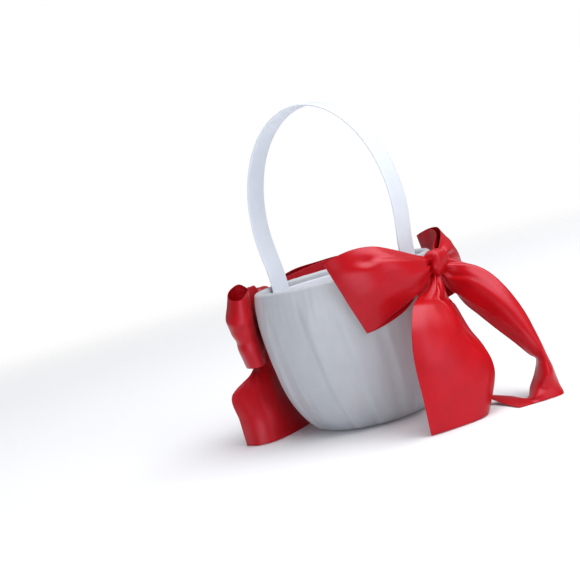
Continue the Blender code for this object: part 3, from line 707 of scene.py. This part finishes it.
RIGHT_FRONT_TAIL = [
    [(66, 55, 108), (67, 56, 108), (68, 57, 108), (69, 57.5, 108), (70, 57, 108), (71, 56, 108), (72, 55, 108)],
    [(54, 69, 99.5), (58.5, 72, 99), (62.5, 73.5, 97.5), (65.5, 73, 95.5), (68.5, 70, 93), (71.5, 63.5, 90.5),
     (73, 56.5, 88.5)],
    [(46.5, 84, 94.5), (50.5, 86.5, 93.5), (55, 87, 92), (60, 85, 90.5), (64.8, 80.5, 88.5), (69.5, 71, 85.5),
     (74.5, 61.5, 83.5)],
    [(40, 101, 91.5), (46.5, 101, 90), (53.5, 98.5, 88), (60.5, 94, 86), (67, 86, 84), (72.5, 70.5, 80.5),
     (77.5, 58, 78)],
    [(33, 117, 78), (42, 116.5, 76), (51, 113.5, 73.5), (60, 109, 71.5), (69, 102, 69), (76, 85.5, 66), (80.5, 70, 64)],
    [(28, 126, 56), (38, 125, 55), (49, 122, 53.5), (60, 117.5, 52), (70, 111.5, 50.5), (79, 104, 49), (85, 95, 48.5)],
    [(27, 129, 28), (37, 128, 28), (47.5, 125.5, 28), (58.5, 122, 28), (69, 117.5, 28), (79, 112, 28.5),
     (86.5, 104.5, 29)],
    [(26, 130, 0.6), (35.5, 129, 0.6), (45, 126.5, 0.6), (55, 123.5, 0.6), (64.5, 119.5, 0.6), (72, 113, 1),
     (76, 104.5, 2.5)],
]

RIGHT_SIDE_TAIL = [
    [(72, 51, 119), (72, 52, 118), (72, 53, 116), (72, 53.5, 114), (72, 53.5, 111.5), (72, 53, 109), (72, 52, 107),
     (72, 51, 106)],
    [(81, 45, 114.5), (81.5, 50.5, 115.5), (81, 54, 112), (80.5, 55, 107), (79.5, 55, 101.5), (78.5, 54, 96),
     (78, 51, 92), (79, 46.5, 93)],
    [(90, 44, 103), (94, 51, 107.5), (95.5, 57.5, 107.5), (94, 64, 103), (91.5, 67.5, 97), (89, 68, 90),
     (86.5, 63.5, 83.5), (84.5, 55, 78.5)],
    [(99, 49, 92), (105, 56, 97.5), (107, 63, 98), (105.3, 71, 93.5), (102, 77, 87), (99, 78, 80), (95.5, 73, 73),
     (92, 64, 67.5)],
    [(107, 56, 77), (114, 63.5, 82.5), (116, 71, 83), (114.5, 80.5, 79), (111, 86, 73), (107.5, 86.5, 67),
     (103.8, 82, 61), (100, 73.5, 56)],
    [(113, 65, 61), (120.5, 71.5, 65.5), (122.8, 79, 65.5), (122, 88.5, 61.5), (119.5, 93.5, 56.5), (116.5, 95, 51),
     (113.5, 92, 46.5), (110, 84.5, 42.5)],
    [(119.5, 67, 46), (125.4, 78, 48), (126.5, 87.5, 47), (126, 95, 44), (124.5, 99.5, 40.5), (122, 100, 37),
     (119, 96.5, 33.5), (117.8, 89, 31.5)],
    [(122.5, 70, 33), (127.5, 82, 32), (129.2, 92, 31), (128, 100.5, 29.5), (125.5, 105.5, 28), (122.8, 103.5, 27),
     (121.4, 96.5, 26.5), (122.5, 86, 26.5)],
    [(128.5, 84, 19), (131, 94, 18.5), (130.3, 102, 18.2), (127.5, 109, 17.6), (123, 112, 17.2), (119.2, 108.5, 16.8),
     (117.6, 99.5, 16.6), (118.5, 88, 17)],
    [(132.2, 106.5, 0.5), (130, 108, 2.5), (127, 109.5, 4.8), (123, 110.5, 7), (119, 110, 8.8), (115.5, 108.5, 9.4),
     (112.8, 105, 9), (112, 92, 8.5)],
    [(119.5, 113, 0.5), (117.5, 113.5, 1.6), (115.3, 113.5, 2.6), (113, 113.3, 3.3), (110.8, 113, 3.7),
     (108.6, 112, 3.7), (106.6, 108, 3), (106.5, 97, 1.4)],
    [(106.5, 115, 0.5), (105, 113.5, 0.9), (103.6, 111.5, 1.3), (102.2, 108.5, 1.8), (101, 104.5, 2.4), (99.8, 99, 3),
     (98.5, 92, 3.2), (97, 83, 3)],
    [(95.5, 116, 0.5), (93.5, 111, 0.7), (91.5, 105.5, 1), (89.5, 100, 1.5), (87, 94, 2.4), (84.3, 87.5, 3.6),
     (81.5, 81, 5.2), (78.5, 73.5, 7.5)],
]

LEFT_FRONT_TAIL = [
    [(-73, -47, 108), (-73, -48, 108), (-73, -49, 108), (-74, -50, 108), (-74, -51, 108), (-74, -52, 108)],
    [(-79.5, -42, 95), (-78.5, -45, 95.5), (-77, -48, 95.5), (-75, -50.5, 95.5), (-73, -53, 95.5), (-70, -56.5, 95)],
    [(-84.5, -34, 82), (-84.5, -38, 82.5), (-82.5, -42, 82.5), (-79.5, -46, 82.5), (-76, -50, 82.5), (-72.5, -54, 82)],
    [(-89, -20.5, 69.5), (-89, -27, 70), (-86.5, -33, 70.5), (-83.5, -39, 70.5), (-80, -44.5, 70.5), (-75.5, -51, 70)],
    [(-96.5, -6.5, 58.5), (-93.5, -11, 59), (-90.5, -17.5, 59), (-87, -25, 59), (-83, -33, 59), (-79, -43, 59.5)],
    [(-117, -8, 44), (-105, -4, 44), (-93, -4, 45), (-83, -11, 45), (-78, -22, 45), (-76, -34, 46)],
    [(-116, -8, 22), (-106, 2, 22), (-95, 5, 22), (-84, 1, 22), (-75, -11, 22), (-67.5, -27, 23)],
    [(-115, -5, 0.5), (-105.5, 6, 0.5), (-93, 8, 0.5), (-81, 1, 0.5), (-69, -12, 0.5), (-58, -28, 0.5)],
]

LEFT_REAR_TAIL = [
    [(-67, -55, 108), (-68, -55, 108), (-69, -54, 108), (-70, -54, 108), (-71, -54, 108), (-72, -54, 108)],
    [(-50, -68, 86), (-56, -71, 85), (-62, -72.5, 85), (-68, -71.5, 85), (-73, -68, 86), (-76, -62.5, 87)],
    [(-40, -80, 63), (-49, -85, 62), (-59, -87, 62), (-69, -84.5, 62), (-77.5, -78.5, 63), (-83, -70, 64)],
    [(-34, -86, 40), (-44, -93, 39), (-56, -97, 40), (-69, -94, 40), (-79.5, -87, 40), (-86, -76, 41)],
    [(-29, -86, 18), (-38, -95, 18), (-50, -100.5, 18), (-64, -98.5, 18), (-76, -91, 18), (-84, -79, 18)],
    [(-24, -86, 0.6), (-32, -95, 0.6), (-43, -101, 0.6), (-56, -100, 0.6), (-68, -94, 0.6), (-77, -84, 0.6)],
]

# each crease: place along, place across, slant, length, width, height
CREASES = {
    "right_front_loop": [(0.665, 0.60, 0.0, 7, 4.5, -2.2), (0.76, 0.62, -0.1, 16, 2.5, -0.9),
                         (0.60, -0.15, 0.15, 22, 9, 0.8)],
    "right_back_loop": [(0.72, 0.3, 0.3, 14, 4, 1.2)],
    "left_front_loop": [(0.62, -0.25, 0.0, 40, 5, 1.6), (0.62, 0.35, 0.0, 40, 5, -1.2)],
    "left_back_loop": [(0.6, 0.5, 0.0, 30, 3, 1.0)],
    "right_front_tail": [(0.27, 0.28, 0.40, 24, 2.2, 1.3), (0.31, 0.60, 0.40, 24, 6, -2.8),
                         (0.50, 0.60, 0.6, 12, 7, -1.2)],
    "right_side_tail": [(0.26, -0.50, 0.04, 32, 2.2, 1.5), (0.28, -0.34, 0.04, 32, 3.2, -1.6)],
}


def knot(name, side, node):
    """Band of ribbon pulled round the middle of the bow, over a bundle that is deeper than it is wide."""
    turns, across = 120, 56
    fullness, power = 1.07, 0.82    # over the CAD block's size; 1 is a round section, less is squarer
    low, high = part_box(node)
    centre = (low + high) / 2 / MM
    half = (high - low) / 2 / MM * fullness
    theta = np.linspace(0.0, TAU, turns, endpoint=False)[None, :]
    v = np.linspace(-1.0, 1.0, across)[:, None]
    c, s = np.cos(theta), np.sin(theta)
    barrel = (1 - np.abs(v) ** 3.2) ** 0.42
    barrel = barrel * (1 - 0.05 * np.cos(3.1 * v * 1.3))
    ridge = 0.030 * np.cos(6.5 * v + 0.9 * np.sin(theta + 0.5)) + 0.018 * np.cos(13 * v + 1.4 * np.sin(theta * 2))
    rim = barrel * (1 + ridge * (1 - np.abs(v) ** 6))
    x = np.sign(c) * np.abs(c) ** power * half.x * rim
    z = np.sign(s) * np.abs(s) ** power * half.z * rim
    y = half.y * v * (1 + 0.05 * np.cos(theta * 2 + 0.6)) + 0.9 * np.sin(theta + 0.7)
    grid = np.stack([centre.x + side * x, y + 0 * x, centre.z + z], -1)
    uv = np.stack([v * 1.6 + 0 * theta, theta * 1.4 + 0 * v], -1)
    obj = grid_object(name, grid, uv, RED, True)
    close_ends(obj, across, turns)
    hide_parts(node)
    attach(obj, "basket")


# ---------------------------------------------------------------- studio
def studio():
    world = bpy.data.worlds.new("studio")
    bpy.context.scene.world = world
    world.use_nodes = True
    tree = world.node_tree
    shade = tree.nodes["Background"]
    shade.inputs["Color"].default_value = (0.80, 0.86, 1.0, 1.0)
    shade.inputs["Strength"].default_value = 0.20
    backdrop = tree.nodes.new("ShaderNodeBackground")
    backdrop.inputs["Color"].default_value = (1.0, 1.0, 1.0, 1.0)
    backdrop.inputs["Strength"].default_value = 1.0
    path = tree.nodes.new("ShaderNodeLightPath")
    choose = tree.nodes.new("ShaderNodeMixShader")
    tree.links.new(path.outputs["Is Camera Ray"], choose.inputs[0])
    tree.links.new(shade.outputs[0], choose.inputs[1])
    tree.links.new(backdrop.outputs[0], choose.inputs[2])
    tree.links.new(choose.outputs[0], tree.nodes["World Output"].inputs["Surface"])

    bpy.ops.mesh.primitive_circle_add(vertices=96, radius=2.4, fill_type='NGON', location=(0, 0, 0))
    floor = bpy.context.object
    floor.name = "floor"
    material = bpy.data.materials.new("pale_floor")
    n = Nodes(material)
    seen = n.add("ShaderNodeLightPath")
    n.feed("Base Color", n.mix(seen.outputs["Is Camera Ray"], (0.80, 0.83, 0.85), (0.93, 0.93, 0.94)))
    n.feed("Roughness", 0.9)
    n.feed("Specular IOR Level", 0.1)
    place = n.coords("Object")
    far = n.add("ShaderNodeVectorMath")
    far.operation = 'LENGTH'
    n.link(place, far.inputs[0])
    clear = n.add("ShaderNodeBsdfTransparent")
    fade = n.add("ShaderNodeMixShader")
    n.link(n.span(far.outputs["Value"], 0.5, 2.2, 0.0, 1.0, True), fade.inputs[0])
    n.link(n.shader.outputs[0], fade.inputs[1])
    n.link(clear.outputs[0], fade.inputs[2])
    n.link(fade.outputs[0], n.tree.nodes["Material Output"].inputs["Surface"])
    floor.data.materials.append(material)

    def area(name, place, size, power, colour):
        data = bpy.data.lights.new(name, 'AREA')
        data.shape = 'RECTANGLE'
        data.size, data.size_y = size
        data.energy = power
        data.color = colour
        lamp = bpy.data.objects.new(name, data)
        lamp.location = place
        lamp.rotation_euler = (Vector((0, 0, 0.1)) - Vector(place)).to_track_quat('-Z', 'Y').to_euler()
        bpy.context.scene.collection.objects.link(lamp)

    area("top_light", (0.8, 0.4, 2.8), (3.0, 3.0), 112.0, (1.0, 1.0, 1.0))
    area("right_light", (2.3, -0.6, 0.9), (1.3, 1.5), 13.5, (0.92, 0.96, 1.0))
    area("front_light", (0.4, -2.3, 0.14), (1.6, 0.7), 16.5, (0.98, 0.99, 1.0))
    bpy.context.scene.view_settings.view_transform = 'Standard'


# ---------------------------------------------------------------- build
def carry_over():
    """CAD solids whose shape stays get their procedural materials."""
    board, strip, metal, glue = board_material(), strip_material(), brass_material(), glue_material()
    kept = {"wall_shell": board, "base_board": board, "inner_floor_board": board, "handle_core": strip,
            "right_glue_pad": glue, "left_glue_pad": glue}
    for side in ("right", "left"):
        for end in ("front", "back"):
            kept[f"{side}_foot_{end}_rivet"] = metal
    for name, material in kept.items():
        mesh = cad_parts[name].data
        if not mesh.materials:
            mesh.materials.append(material)
        for k in range(len(mesh.materials)):
            mesh.materials[k] = material


def wadding():
    """Loose fibre between the board and the cover, a little uneven under the cover."""
    front_rows, back_rows = 70, 40
    skin = pushed(SKIN[:-1], 1.5)
    skin[0] = (74.6, 120.2)
    profile, run = even([tuple(p) for p in skin], front_rows)
    behind, _ = even([tuple(p) for p in pushed(WALL[:-1], -0.35)], back_rows)
    both = np.concatenate([profile, behind[::-1]])
    grid, angle = revolved(both)
    soft = np.zeros(grid.shape[:2])
    around = angle[:front_rows]
    soft[:front_rows] = 0.30 * waves(around * 4, run[:, None] / 40 + 0 * around, 51, 7, 0.6, 2.2)
    soft[:3] = soft[front_rows - 3:front_rows] = 0
    out = grid * (1, 1, 0) / np.linalg.norm(grid[..., :2], axis=2, keepdims=True)
    grid = grid - out * np.abs(soft)[..., None]
    closed = np.concatenate([grid, grid[:1]])
    uv = np.zeros(closed.shape[:2] + (2,))
    obj = grid_object("wall_wadding_fill", closed, uv, wadding_material(), True)
    edit_mesh(obj, lambda edit: bmesh.ops.remove_doubles(edit, verts=edit.verts, dist=0.00001))
    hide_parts("wall_wadding")
    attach(obj, "basket")


def build():
    carry_over()
    wadding()
    cover = outer_cover()
    inner = lining()
    _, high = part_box("base_cover")
    base = round_cloth("base_satin", high.x / MM, 0.45, -1, SHADED_WHITE, 61, 0.0)
    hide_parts("base_cover")
    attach(base, "basket")
    _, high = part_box("inner_floor_cover")
    inside = round_cloth("inner_floor_satin", high.x / MM, 6.6, 1, LINING, 62, 0.6)
    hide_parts("inner_floor_cover")
    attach(inside, "basket")
    sleeve = handle()

    knot("right_knot_band", 1, "right_knot")
    knot("left_knot_band", -1, "left_knot")
    loops = (("right_front_loop", RIGHT_FRONT_LOOP, 0.0, 71), ("right_back_loop", RIGHT_BACK_LOOP, 0.0, 72),
             ("left_front_loop", LEFT_FRONT_LOOP, 180.0, 73), ("left_back_loop", LEFT_BACK_LOOP, 180.0, 74))
    for node, stops, bow_angle, seed in loops:
        ribbon(node + "_ribbon", loop_net(stops, bow_angle), 180, 61, node, "basket", (3.0, 0.9), seed, CREASES[node],
               reach=18.0)
    tails = (("right_front_tail", RIGHT_FRONT_TAIL, "right_front_ribbon_tail", ((92.5, -4, 106), (94, -12, 88)), 81,
              (3.0, 1.1), 24.0),
             ("right_side_tail", RIGHT_SIDE_TAIL, "right_side_ribbon_tail", ((92, 0, 114), (108, 0, 103)), 82,
              (3.8, 1.3), 26.0),
             ("left_front_tail", LEFT_FRONT_TAIL, "left_front_ribbon_tail", ((-90, -4, 106), (-92, -12, 88)), 83,
              (4.0, 1.8), 42.0),
             ("left_rear_tail", LEFT_REAR_TAIL, "left_rear_ribbon_tail", ((-90, 4, 106), (-92, 12, 88)), 84,
              (3.5, 1.4), 32.0))
    for node, table, body, bend, seed, folds, reach in tails:
        ribbon(node + "_ribbon", tail_net(table), 170, 61, node, body, folds, seed, CREASES.get(node, ()), bend, reach)


build()
studio()
